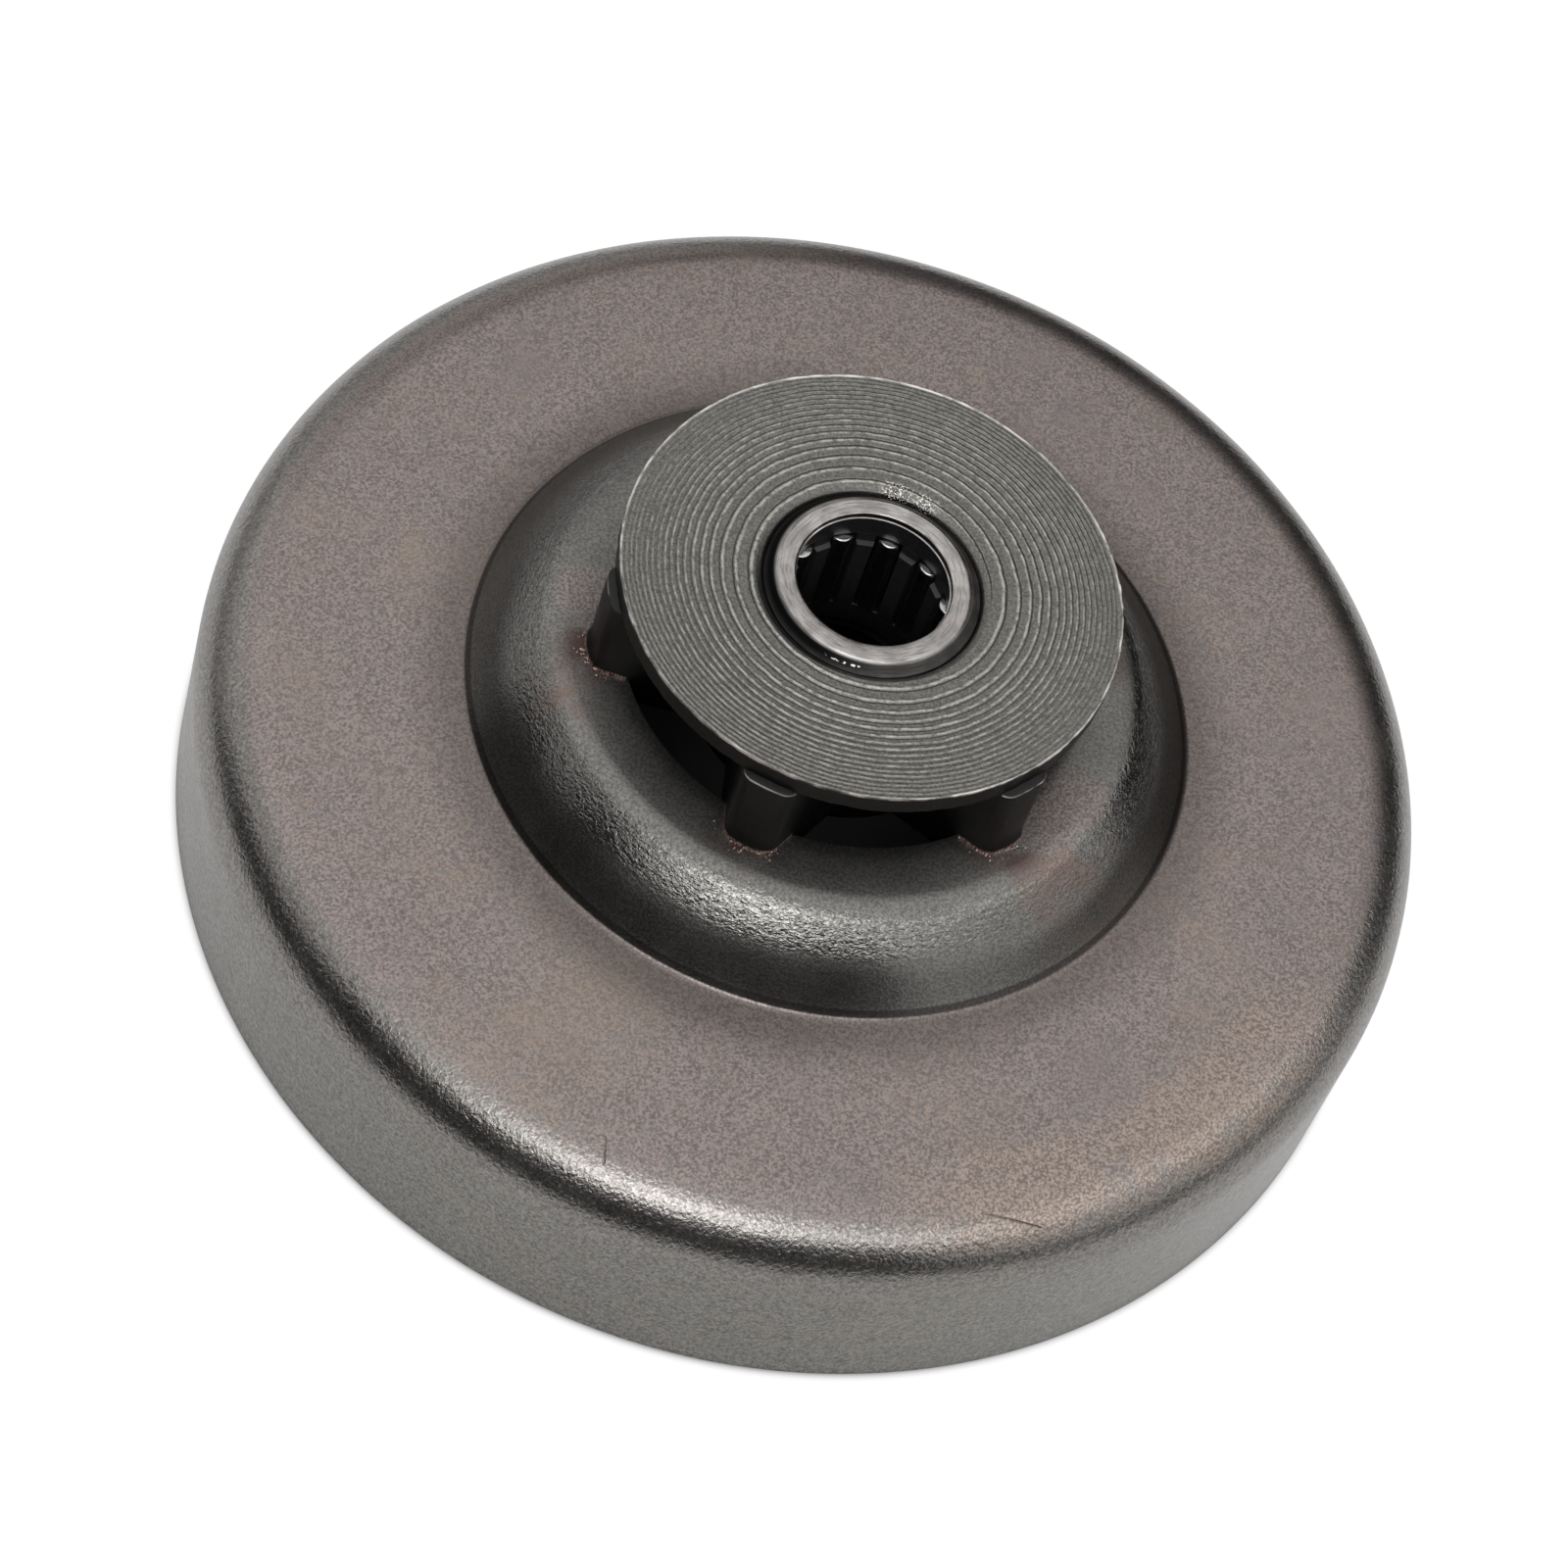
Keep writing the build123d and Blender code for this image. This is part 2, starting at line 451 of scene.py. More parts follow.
        # the crease at the dome's root, which takes a line of painted shade
        root = place.height.between(ring + 0.22, ring + 0.5, 0.12)
        root = root * place.radius.between(edge - 1.0, edge + 0.1, 0.1)
        worn = place.facing(self.worn_way).rise(0.86, 0.96)
        worn = worn * place.radius.between(*self.worn_radii, 2.0) * place.height.rise(*self.worn_heights)
        grit = place.grain(self.grit_size, rough=0.6)
        relief = place.grain(self.relief_size, twist=0.5)
        mottle = place.grain(self.mottle_size, detail=3.0)
        cloud = place.grain(self.cloud_size)
        tone = grit.rise(0.34, 0.66)
        patchy = mottle.rise(0.35, 0.6)
        on_bare = on_land * self.patch_share
        warm = mottle.rise(0.5, 0.8) * 0.3 + cloud.rise(0.5, 0.75) * 0.35
        for patch in self.tan_patches:
            warm = warm + place.spot(*patch) * mottle.rise(0.3, 0.7) * 0.6
        crinkle = place.strokes(*self.crinkle_size, self.dome_middle) - 0.5
        crease = (place.strokes(*self.crease_size, self.dome_middle) - 0.5).math("ABSOLUTE").fall(0.0, 0.06)
        first, second = (place.stroke(*scratch) for scratch in self.scratches)
        mark = first.largest(second)
        dome = web.blend(tone, self.dome_dark, self.dome_light)
        bare = web.blend(tone, self.bare_dark, self.bare_light)
        rubbed = web.blend(tone, self.worn_dark, self.worn_light)
        colour = web.layered(
            web.blend(tone, self.ring_dark, self.ring_light),
            (cloud.fall(0.3, 0.5) * mottle.rise(0.35, 0.65) * self.plum_share, self.plum),
            (warm, self.tan),
            (place.grain(self.fleck_size).rise(0.52, 0.68) * self.fleck_share, self.cool),
            # painted shade: the ring darkens towards the dome's root
            (place.radius.fall(edge, edge + 4.5) * self.near_dome_shade_share, self.root_shade),
            (on_bend * self.bend_share, self._side(web, place, tone, relief)),
            (worn * mottle.rise(0.2, 0.6) * self.worn_share, rubbed),
            # the dome's own colour, with painted shade on its lower skirt
            (on_dome * self.dome_share, web.blend(skirt * self.skirt_shade_share, dome, self.root_shade)),
            *[(place.spot(*spot) * patchy * self.patch_share, self.blush) for spot in self.blush_patches],
            *[(place.spot(*spot).rise(0.0, 0.6) * on_bare, bare) for spot in self.bare_patches],
            # a braze stain and painted shade round each tooth foot
            *[(place.spot(*foot) * patchy * on_dome, self.foot_stain_and_shade) for foot in self._feet()],
            # painted shade: a dark line in the crease at the dome's root
            (root * self.root_shade_share, self.marks_and_shade),
            # scratch marks, and painted shade in the creases of the wrinkles
            ((mark * self.mark_share).largest(crease * stretched * self.crease_shade_share), self.marks_and_shade),
        )
        height = (grit - 0.5) * (self.grit_relief + worn * self.worn_relief)
        height = height + (relief - 0.5) * off_ring * self.side_relief
        height = height + (crinkle * self.crinkle_relief - crease * self.crease_relief) * stretched
        dull = self.roughness + (mottle - 0.5) * self.mottle_dull
        dull = dull + on_land * self.land_dull + flat * self.flat_dull
        return {
            "Base Color": colour,
            "Metallic": 1.0,
            "Roughness": dull - stretched * self.stretched_gloss - worn * self.worn_gloss,
            "Normal": web.bump(height - mark * self.mark_relief, self.bump_depth),
        }


@dataclass(frozen=True)
class SinteredSteel(Finish):
    """Grainy sintered steel with burnished ridges on its turned face and copper braze at the tooth feet.
    Everything below the turned face is painted near-black for shade, oil and painted shade darken the groove
    round the bore, and the bright burr colour also paints highlights and glints.
    """

    face: Colour = grey(0.225, 1.02, 0.985, 0.89)
    face_dark: Colour = grey(0.125, 1.01, 0.99, 0.92)
    ridge: Colour = grey(0.46, 1.02, 0.985, 0.92)
    # painted shade in the furrow beside each ridge
    furrow: Colour = grey(0.05)
    # painted shade: near-black for everything below the turned face, the teeth above all
    side: Colour = grey(0.032, 1.0, 1.0, 0.98)
    # the bright burr on the flange's rim, also used for a painted highlight on the tooth ledges' edge and
    # painted glints on the wet patch
    burr_and_glint: Colour = grey(0.75, 1.02, 0.97, 0.93)
    copper: Colour = (0.12, 0.035, 0.025, 1.0)
    crumb: Colour = (0.62, 0.52, 0.48, 1.0)
    # oil and painted shade in the groove round the bore and on one side of it
    oil_and_painted_shade: Colour = grey(0.05)
    # Where things lie
    face_height: float = 27.5
    face_radius: float = 15.1
    flange_bottom: float = 26.2
    groove_radius: float = 6.7
    sink_radius: float = 7.1
    land_height: float = 20.1
    foot_radius: float = 13.9
    oil_spots: tuple[Spot, Spot] = ((2.4, 6.7, 1.5), (4.1, 5.9, 1.5))
    oil_shade: Spot = (-6.2, -2.9, 7.0)
    # Sizes of the textures, and how much of each layer shows
    grit_size: float = 0.15
    mottle_size: float = 1.6
    drop_size: float = 0.13
    furrow_shade_share: float = 0.85
    groove_shade_share: float = 0.65
    shade_share: float = 0.9
    wet_share: float = 0.5
    second_wet: float = 0.7
    # Relief and roughness
    bump_depth: float = 0.03
    drop_relief: float = 4.5
    roughness: float = 0.42
    mottle_dull: float = 0.15
    wet_gloss: float = 0.3

    def surface(self, web: Web) -> dict[str, Any]:
        """Gives the inputs of the Principled shader.

        Args:
            web: The material's node tree.

        Returns:
            Values and links by the names of the sockets.
        """
        place = Place(web)
        face, under, rim = self.face_height, self.flange_bottom, self.face_radius
        sink = place.radius.fall(self.sink_radius - 0.1, self.sink_radius)
        sink = sink * place.height.rise(under + 0.2, under + 0.4)
        top = place.height.rise(face - 0.15, face - 0.1).largest(sink)
        crest = place.height.rise(face + 0.008, face + 0.04)
        # the furrow beside each ridge, which takes painted shade
        furrow = place.height.fall(face - 0.035, face - 0.006) * top * (1.0 - sink)
        # the rim's burr band, and below it a painted highlight line along the edge of the tooth ledges
        edge = place.radius.rise(rim - 0.2, rim - 0.08) * top
        ledge = place.height.between(under - 0.13, under - 0.05, 0.03) * place.radius.rise(rim, rim + 0.1)
        foot = place.height.fall(self.land_height + 0.12, self.land_height + 0.3)
        foot = foot * place.radius.rise(self.foot_radius - 0.1, self.foot_radius)
        # oil and painted shade round the bore: a groove band and a spot on one side
        groove_shade = place.radius.fall(self.groove_radius - 0.4, self.groove_radius + 0.5)
        shade = place.spot(*self.oil_shade) * place.radius.fall(self.groove_radius, self.sink_radius + 0.4)
        groove_oil_shade = (groove_shade * self.groove_shade_share).largest(shade.rise(0.0, 0.6) * self.shade_share)
        first, second = (place.spot(*spot) for spot in self.oil_spots)
        wet = first.largest(second * self.second_wet).rise(0.0, 0.8)
        wet = wet * place.radius.fall(self.sink_radius + 0.3, self.sink_radius + 0.6) * top
        grit = place.grain(self.grit_size, detail=3.0, rough=0.6)
        mottle = place.grain(self.mottle_size, detail=3.0)
        drop = place.grain(self.drop_size, detail=1.0)
        colour = web.layered(
            web.blend(grit.rise(0.35, 0.65), self.face_dark, self.face),
            (crest * grit.rise(0.25, 0.5), self.ridge),
            # painted shade in the furrows
            (furrow * self.furrow_shade_share, self.furrow),
            # painted shade below the turned face
            (1.0 - top, self.side),
            # bright burr, and painted highlight on the ledge edges
            (edge.largest(ledge) * mottle.rise(0.4, 0.62), self.burr_and_glint),
            (foot, web.blend(grit.rise(0.4, 0.55), self.copper, self.crumb)),
            # oil and painted shade round the bore
            (groove_oil_shade, self.oil_and_painted_shade),
            (wet * self.wet_share, self.face_dark),
            # painted glints on the wet patch
            (wet * drop.rise(0.46, 0.64), self.burr_and_glint),
        )
        return {
            "Base Color": colour,
            "Metallic": 1.0,
            "Roughness": self.roughness + (mottle - 0.5) * self.mottle_dull - wet * self.wet_gloss,
            "Normal": web.bump(grit + (drop - 0.5) * wet * self.drop_relief, self.bump_depth),
        }


@dataclass(frozen=True)
class BearingSteel(Finish):
    """The drawn and ground bearing shell: light, faintly pink and scuffed round its lip; outside the lip and
    low down it is darkened by oil and painted shade, with painted light on one side and painted glints of oil
    drops.
    """

    light: Colour = grey(0.45, 1.03, 0.98, 0.94)
    dark: Colour = grey(0.2, 1.03, 0.97, 0.94)
    pink: Colour = grey(0.36, 1.12, 0.95, 0.93)
    # oil and painted shade on the shell's outer bevel and low down
    oil_and_painted_shade: Colour = grey(0.007)
    # painted glints of oil drops
    drop: Colour = grey(0.9)
    oil_shade_height: float = 27.0
    oil_shade_radius: float = 5.84
    lip_middle: float = 5.4
    pink_spot: Spot = (4.6, -3.4, 3.0)
    drop_spot: Spot = (-2.47, -5.72, 1.7)
    drop_radius: float = 6.2
    # the side that painted light lifts out of the oil and shade
    painted_light_way: Pair = (0.82, -0.57)
    scuff_size: Pair = (0.11, 1.1)
    mottle_size: float = 1.1
    drop_size: float = 0.22
    pink_share: float = 0.7
    bump_depth: float = 0.006
    roughness: float = 0.27
    mottle_dull: float = 0.2
    oil_dull: float = 0.4

    def surface(self, web: Web) -> dict[str, Any]:
        """Gives the inputs of the Principled shader.

        Args:
            web: The material's node tree.

        Returns:
            Values and links by the names of the sockets.
        """
        place = Place(web)
        scuff = place.strokes(*self.scuff_size, self.lip_middle)
        mottle = place.grain(self.mottle_size, detail=3.0)
        bright = scuff.rise(0.25, 0.6) * (0.35 + mottle.rise(0.3, 0.7) * 0.65)
        # painted light: one side and the outer edge lighter than the oil and shade
        painted_light = place.facing(self.painted_light_way).rise(-0.1, 0.9) * 0.2
        painted_light = painted_light + place.radius.rise(self.drop_radius, self.drop_radius + 0.3) * 0.1
        # oil and painted shade low down and outside the lip
        shell_oil_shade = place.height.fall(self.oil_shade_height - 0.6, self.oil_shade_height)
        shell_oil_shade = shell_oil_shade.largest(place.radius.rise(self.oil_shade_radius, self.oil_shade_radius + 0.2)) * (1.0 - painted_light)
        # painted glints of oil drops in the gap round the shell
        drop_glints = place.radius.between(self.drop_radius - 0.03, self.drop_radius + 0.03, 0.03)
        drop_glints = drop_glints * place.spot(*self.drop_spot).rise(0.1, 0.4)
        drop_glints = drop_glints * place.grain(self.drop_size, detail=1.0).rise(0.53, 0.58)
        colour = web.layered(
            web.blend(bright, self.dark, self.light),
            (place.spot(*self.pink_spot) * mottle.rise(0.4, 0.6) * self.pink_share, self.pink),
            # oil and painted shade
            (shell_oil_shade, self.oil_and_painted_shade),
            # painted glints of oil drops
            (drop_glints, self.drop),
        )
        return {
            "Base Color": colour,
            "Metallic": 1.0,
            "Roughness": self.roughness + (mottle - 0.5) * self.mottle_dull + shell_oil_shade * self.oil_dull,
            "Normal": web.bump(scuff + mottle, self.bump_depth),
        }


@dataclass(frozen=True)
class MouldedBlack(Finish):
    """The moulded black cage, damp with oil."""

    dark: Colour = grey(0.008)
    light: Colour = grey(0.022)
    mould_size: float = 0.35
    roughness: float = 0.32
    mould_dull: float = 0.2
    bump_depth: float = 0.01

    def surface(self, web: Web) -> dict[str, Any]:
        """Gives the inputs of the Principled shader.

        Args:
            web: The material's node tree.

        Returns:
            Values and links by the names of the sockets.
        """
        mould = Place(web).grain(self.mould_size, detail=3.0)
        return {
            "Base Color": web.blend(mould, self.dark, self.light),
            "Roughness": self.roughness + (mould - 0.5) * self.mould_dull,
            "Normal": web.bump(mould, self.bump_depth),
        }


@dataclass(frozen=True)
class NeedleSteel(Finish):
    """Ground needle steel under a film of oil."""

    light: Colour = grey(0.55)
    dark: Colour = grey(0.42, 1.0, 0.97, 0.93)
    film_size: float = 0.5
    grind_size: float = 0.08
    roughness: float = 0.16
    film_dull: float = 0.12
    bump_depth: float = 0.002

    def surface(self, web: Web) -> dict[str, Any]:
        """Gives the inputs of the Principled shader.

        Args:
            web: The material's node tree.

        Returns:
            Values and links by the names of the sockets.
        """
        place = Place(web)
        film = place.grain(self.film_size)
        return {
            "Base Color": web.blend(film, self.dark, self.light),
            "Metallic": 1.0,
            "Roughness": self.roughness + film * self.film_dull,
            "Normal": web.bump(place.grain(self.grind_size), self.bump_depth),
        }


def at_radius(point: Vector, radius: float) -> Vector:
    """Moves a point level with itself to a radius in millimetres."""
    flat = point.xy.normalized() * radius * MM
    return Vector((flat.x, flat.y, point.z))


def within(point: Vector, radius: float) -> Vector:
    """Brings a point in to a radius in millimetres if it lies outside it."""
    return at_radius(point, radius) if point.xy.length > radius * MM else point.copy()


def ramp(value: float, start: float, width: float) -> float:
    """Gives 0 below a start, 1 past a width beyond it and a straight line between them."""
    return min(max((value - start) / width, 0.0), 1.0)


def ragged(point: Vector, level: float, swing: float, size: float) -> float:
    """Gives a strength that wavers about a level with noise of a size in millimetres, never below 0."""
    return max(level + swing * noise.noise(point / (size * MM)), 0.0)


def extent(node: str) -> Triple:
    """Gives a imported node's outer radius, bottom and top, in millimetres."""
    low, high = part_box(node)
    return high.x / MM, low.z / MM, high.z / MM


def spin(bm: BMesh, steps: int, angle: float = FULL_TURN, **kind: bool) -> None:
    """Spins all of a mesh about Z.

    Args:
        bm: The mesh.
        steps: The number of steps.
        angle: The whole turn.
        kind: use_merge for one closed skin, or use_duplicate for copies.
    """
    geom = bm.verts[:] + bm.edges[:] + bm.faces[:]
    axis = {"cent": (0, 0, 0), "axis": (0, 0, 1), "dvec": (0, 0, 0)}
    bmesh.ops.spin(bm, geom=geom, angle=angle, steps=steps, **axis, **kind)


def soften(
    bm: BMesh, geom: Sequence[Any], reach: float, segments: int, affect: Affect, clamp: bool = True
) -> None:
    """Rounds points or edges.

    Args:
        bm: The mesh.
        geom: The points or the edges.
        reach: How far the round reaches along the sides, in millimetres.
        segments: The number of steps in the round.
        affect: Whether points or edges are rounded.
        clamp: Whether rounds stop where they meet.
    """
    bmesh.ops.bevel(
        bm,
        geom=geom,
        offset=reach * MM,
        offset_type="OFFSET",
        affect=affect.value,
        segments=segments,
        profile=0.5,
        material=-1,
        clamp_overlap=clamp,
    )


def grow(bm: BMesh, loop: list[BMEdge], move: Callable[[Vector], Vector]) -> list[BMEdge]:
    """Extrudes a loop and moves the new points.

    Args:
        bm: The mesh.
        loop: The loop's edges.
        move: Gives a new point's place from the point that it grew from.

    Returns:
        The new loop's edges.
    """
    grown = bmesh.ops.extrude_edge_only(bm, edges=loop)["geom"]
    for vert in grown:
        if isinstance(vert, BMVert):
            vert.co = move(vert.co)
    return [edge for edge in grown if isinstance(edge, BMEdge)]


def merged(*meshes: BMesh) -> BMesh:
    """Joins meshes.

    Args:
        meshes: The meshes, of which all but the first are freed.

    Returns:
        The first mesh, which holds them all.
    """
    for other in meshes[1:]:
        part = bpy.data.meshes.new("part")
        other.to_mesh(part)
        other.free()
        meshes[0].from_mesh(part)
        bpy.data.meshes.remove(part)
    return meshes[0]


def finished(bm: BMesh, name: str, crease: float) -> bpy.types.Object:
    """Turns a bmesh into an object with smooth faces and sharp creases.

    Args:
        bm: The mesh, which is freed.
        name: The piece's name.
        crease: The angle in degrees past which an edge is sharp.

    Returns:
        The object, linked to the scene.
    """
    for face in bm.faces:
        face.smooth = True
    for edge in bm.edges:
        edge.smooth = edge.is_manifold and edge.calc_face_angle(0.0) < math.radians(crease)
    mesh = bpy.data.meshes.new(name)
    bm.to_mesh(mesh)
    bm.free()
    piece = bpy.data.objects.new(name, mesh)
    bpy.context.scene.collection.objects.link(piece)
    return piece


def fit_piece(
    piece: bpy.types.Object, body: str, material: bpy.types.Material, node: str
) -> None:
    """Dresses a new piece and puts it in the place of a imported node.

    Args:
        piece: The new piece.
        body: The body that it rides on.
        material: Its finish.
        node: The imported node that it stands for.
    """
    piece.data.materials.append(material)
    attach(piece, body)
    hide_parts(node)
    LOG.info("%s replaces %s with %d faces", piece.name, node, len(piece.data.polygons))


@dataclass(frozen=True)
class Corner:
    """One corner of a turned outline, in millimetres, with the radius that rounds it.

    A span cuts the edge to the next corner into short lengths; neither end of that edge is rounded.
    """

    radius: float
    height: float
    round: float = 0.0
    segments: int = 8
    span: float = 0.0

    def vector(self) -> Vector:
        """Gives the corner as a point in the XZ plane, in metres."""
        return Vector((self.radius, 0.0, self.height)) * MM


@dataclass(frozen=True)
class Lathe:
    """Turns a closed outline of corners into a ring-shaped mesh about Z."""

    steps: int
    span: float

    def turn(self, corners: Sequence[Corner]) -> BMesh:
        """Makes the outline, rounds its corners, cuts its long spans and spins it.

        Args:
            corners: The outline's corners, in order.

        Returns:
            A closed mesh.
        """
        bm = bmesh.new()
        spans = bm.edges.layers.float.new("span")
        points = [bm.verts.new(corner.vector()) for corner in corners]
        for start, end, corner in zip(points, points[1:] + points[:1], corners):
            bm.edges.new((start, end))[spans] = corner.span
        neighbours = zip(corners[-1:] + corners[:-1], corners[1:] + corners[:1])
        for point, corner, (before, after) in zip(points, corners, neighbours):
            if corner.round:
                here = corner.vector()
                bend = (here - before.vector()).angle(after.vector() - here)
                reach = corner.round * math.tan(bend / 2)
                soften(bm, [point], reach, corner.segments, Affect.VERTICES, clamp=False)
        for edge in list(bm.edges):
            cuts = int(edge.calc_length() / ((edge[spans] or self.span) * MM))
            if cuts:
                bmesh.ops.subdivide_edges(bm, edges=[edge], cuts=cuts)
        bm.edges.layers.float.remove(spans)
        spin(bm, self.steps, use_merge=True)
        bmesh.ops.recalc_face_normals(bm, faces=bm.faces)
        return bm


@dataclass
class ClutchDrum:
    """The pressed cup: wall, flat ring, domed centre and open rim."""

    node: str = "clutch_drum"
    sheet: float = 2.0
    ring_height: float = 14.9
    corner_round: float = 4.6
    rim_chamfer: float = 0.3
    dome_base: float = 22.4
    dome_slope: float = 54.0
    brow_slope: float = 40.0
    brow_drop: float = 1.8
    brow_round: float = 12.0
    dome_shoulder: float = 2.5
    dome_root: float = 0.5
    hole_radius: float = 13.65
    hole_round: float = 0.15
    steps: int = 256
    span: float = 1.2
    crease: float = 35.0
    unevenness: float = 0.025
    unevenness_size: float = 9.0

    def corners(self) -> list[Corner]:
        """Gives the cup's section.

        Returns:
            The corners from the rim up the outside, over the dome and back down the inside.
        """
        outside, _, land = extent(self.node)
        inside = outside - self.sheet
        slope = math.radians(self.dome_slope)
        brow = math.radians(self.brow_slope)
        brow_height = land - self.brow_drop
        brow_reach = self.dome_base - (brow_height - self.ring_height) / math.tan(slope)
        top_reach = brow_reach - self.brow_drop / math.tan(brow)
        inset = self.sheet / math.cos((slope - brow) / 2)
        lean = (slope + brow) / 2
        brow_under = (brow_reach - inset * math.sin(lean), brow_height - inset * math.cos(lean))
        top_under = (top_reach - self.sheet * math.tan(brow / 2), land - self.sheet)
        base_under = (self.dome_base - self.sheet * math.tan(slope / 2), self.ring_height - self.sheet)
        return [
            Corner(outside - self.rim_chamfer, 0.0),
            Corner(outside, self.rim_chamfer),
            Corner(outside, self.ring_height, self.corner_round, segments=14),
            Corner(self.dome_base, self.ring_height, self.dome_root, segments=5),
            Corner(brow_reach, brow_height, self.brow_round, segments=5),
            Corner(top_reach, land, self.dome_shoulder, segments=10),
            Corner(self.hole_radius, land, self.hole_round, segments=2),
            Corner(self.hole_radius, land - self.sheet),
            Corner(*top_under, self.dome_shoulder - self.sheet, segments=5),
            Corner(*brow_under, self.brow_round - self.sheet, segments=3),
            Corner(*base_under, self.dome_root + self.sheet, segments=5),
            Corner(inside, self.ring_height - self.sheet, self.corner_round - self.sheet, segments=8),
            Corner(inside, self.rim_chamfer),
            Corner(inside + self.rim_chamfer, 0.0),
        ]

    def build(self) -> bpy.types.Object:
        """Spins the section and gives its skin the slight unevenness of a pressing.

        Returns:
            The drum.
        """
        bm = Lathe(self.steps, self.span).turn(self.corners())
        outside = extent(self.node)[0]
        bm.normal_update()
        for vert in bm.verts:
            lump = noise.noise(vert.co / (self.unevenness_size * MM))
            vert.co = within(vert.co - vert.normal * abs(lump) * self.unevenness * MM, outside)
            vert.co.z = max(vert.co.z, 0.0)
        return finished(bm, "pressed_cup", self.crease)

    def dress(self, piece: bpy.types.Object) -> None:
        """Gives the drum its finish."""
        fit_piece(piece, Body.DRUM.value, PhosphatedSteel("phosphate_skin").material(), self.node)


@dataclass
class Sprocket:
    """The sintered star of teeth under its turned flange, brazed onto the dome."""

    node: str = "sprocket"
    crease: float = 40.0
    # The star of teeth, its spigot and its tail
    teeth: int = 6
    tip_radius: float = 15.6
    tip_width: float = 3.0
    flank_angle: float = 18.0
    tip_reach: float = 0.6
    gullet_reach: float = 0.8
    bend_angle: float = 20.0
    bend_segments: int = 6
    root_radius: float = 9.2
    tail_radius: float = 9.1
    tail_chamfer: float = 0.4
    tail_bottom: float = 15.58
    spigot_radius: float = 13.6
    spigot_bottom: float = 18.1
    bore_radius: float = 6.505
    ledge_round: float = 0.12
    ledge_segments: int = 2
    ledge_bend: float = 1.0
    # The braze: heights and spreads of the swollen feet, and the crumbs round them
    foot_top: float = 21.4
    land: float = 20.1
    swellings: tuple[Pair, ...] = ((20.65, 0.08), (20.1, 0.32))
    swelling_half: float = 0.6
    crumbs_per_tooth: int = 90
    crumb_seed: int = 4
    crumb_arc: float = 2.1
    crumb_gap: float = 0.4
    crumb_spread: float = 0.6
    crumb_drift: float = 3.7
    crumb_size: float = 0.075
    crumb_sizes: Pair = (0.5, 1.5)
    crumb_widths: Pair = (0.6, 1.0)
    crumb_squash: float = 0.7
    # The flange and its countersink
    face: float = 27.5
    flange_bottom: float = 26.2
    flange_radius: float = 15.1
    flange_overlap: float = 0.01
    flange_steps: int = 360
    flange_span: float = 2.0
    face_span: float = 0.036
    sink_width: float = 0.55
    sink_depth: float = 0.4
    sink_below: float = 0.2
    sink_span: float = 0.12
    nick_depth: float = 0.08
    nick_size: float = 0.7
    # The spiral ridges of the turned face; a wander is a depth and a size, torn is a level, a swing and a size
    ridge_radii: tuple[float, ...] = (
        (6.4, 7.36, 8.28, 9.08, 9.74, 10.28, 10.8, 11.28, 11.7, 12.1)
        + (12.48, 12.84, 13.2, 13.52, 13.84, 14.16, 14.44, 14.72, 15.0, 15.28)
    )
    ridge_height: float = 0.05
    ridge_width: float = 0.065
    ridge_offset: float = 0.14
    ridge_turn: float = 0.6
    ridge_wanders: tuple[Pair, ...] = ((0.05, 1.6), (0.035, 0.45))
    ridge_torn: Triple = (0.75, 0.7, 0.3)
    furrow_depth: float = 0.04
    furrow_width: float = 0.05
    furrow_aside: float = 1.5
    rim_relief: float = 0.45
    bore_relief: float = 0.75
    burr_height: float = 0.06
    burr_width: float = 0.16
    burr_torn: Triple = (0.6, 0.9, 0.6)
    fade: float = 0.1

    def _polar(self, radius: float, angle: float) -> Vector:
        """Gives a point of the star from its radius and its angle from a tooth's middle."""
        return Vector((math.cos(angle), math.sin(angle), 0.0)) * radius * MM

    def _flank(self, radius: float) -> float:
        """Gives where a tooth's flank crosses a radius.

        Args:
            radius: The radius, in millimetres.

        Returns:
            The angle from the tooth's middle.
        """
        flank = math.radians(self.flank_angle)
        offset = (self.tip_width / 2 + self.tip_radius * math.tan(flank)) * math.cos(flank)
        return math.pi / 2 - flank - math.acos(offset / radius)

    def _outline(self, bm: BMesh) -> list[BMEdge]:
        """Draws one tooth, repeats it round the hub and rounds its tips and gullets.

        Args:
            bm: The mesh to draw in.

        Returns:
            The edges of the closed outline.
        """
        pitch = FULL_TURN / self.teeth
        radii = (self.root_radius, self.spigot_radius, self.tip_radius)
        rising = [self._polar(radius, -self._flank(radius)) for radius in radii]
        falling = [self._polar(radius, self._flank(radius)) for radius in reversed(radii)]
        next_root = self._polar(self.root_radius, pitch - self._flank(self.root_radius))
        path = rising + [self._polar(self.tip_radius, 0.0)] + falling + [next_root]
        verts = [bm.verts.new(point) for point in path]
        for start, end in zip(verts, verts[1:]):
            bm.edges.new((start, end))
        spin(bm, self.teeth, use_duplicate=True)
        bmesh.ops.remove_doubles(bm, verts=bm.verts, dist=MERGE_REACH)
        self._round(bm, self.root_radius, self.gullet_reach)
        self._round(bm, self.tip_radius, self.tip_reach)
        return list(bm.edges)

    def _round(self, bm: BMesh, radius: float, reach: float) -> None:
        """Rounds the outline's bends at one radius.

        Args:
            bm: The mesh with the outline.
            radius: The radius where the bends lie, in millimetres.
            reach: How far each round reaches along the sides, in millimetres.
        """
        bends = []
        for vert in bm.verts:
            ways = [edge.other_vert(vert).co - vert.co for edge in vert.link_edges]
            bent = ways[0].angle(-ways[1]) > math.radians(self.bend_angle)
            if bent and abs(vert.co.length - radius * MM) < NEAR:
                bends.append(vert)
        soften(bm, bends, reach, self.bend_segments, Affect.VERTICES)

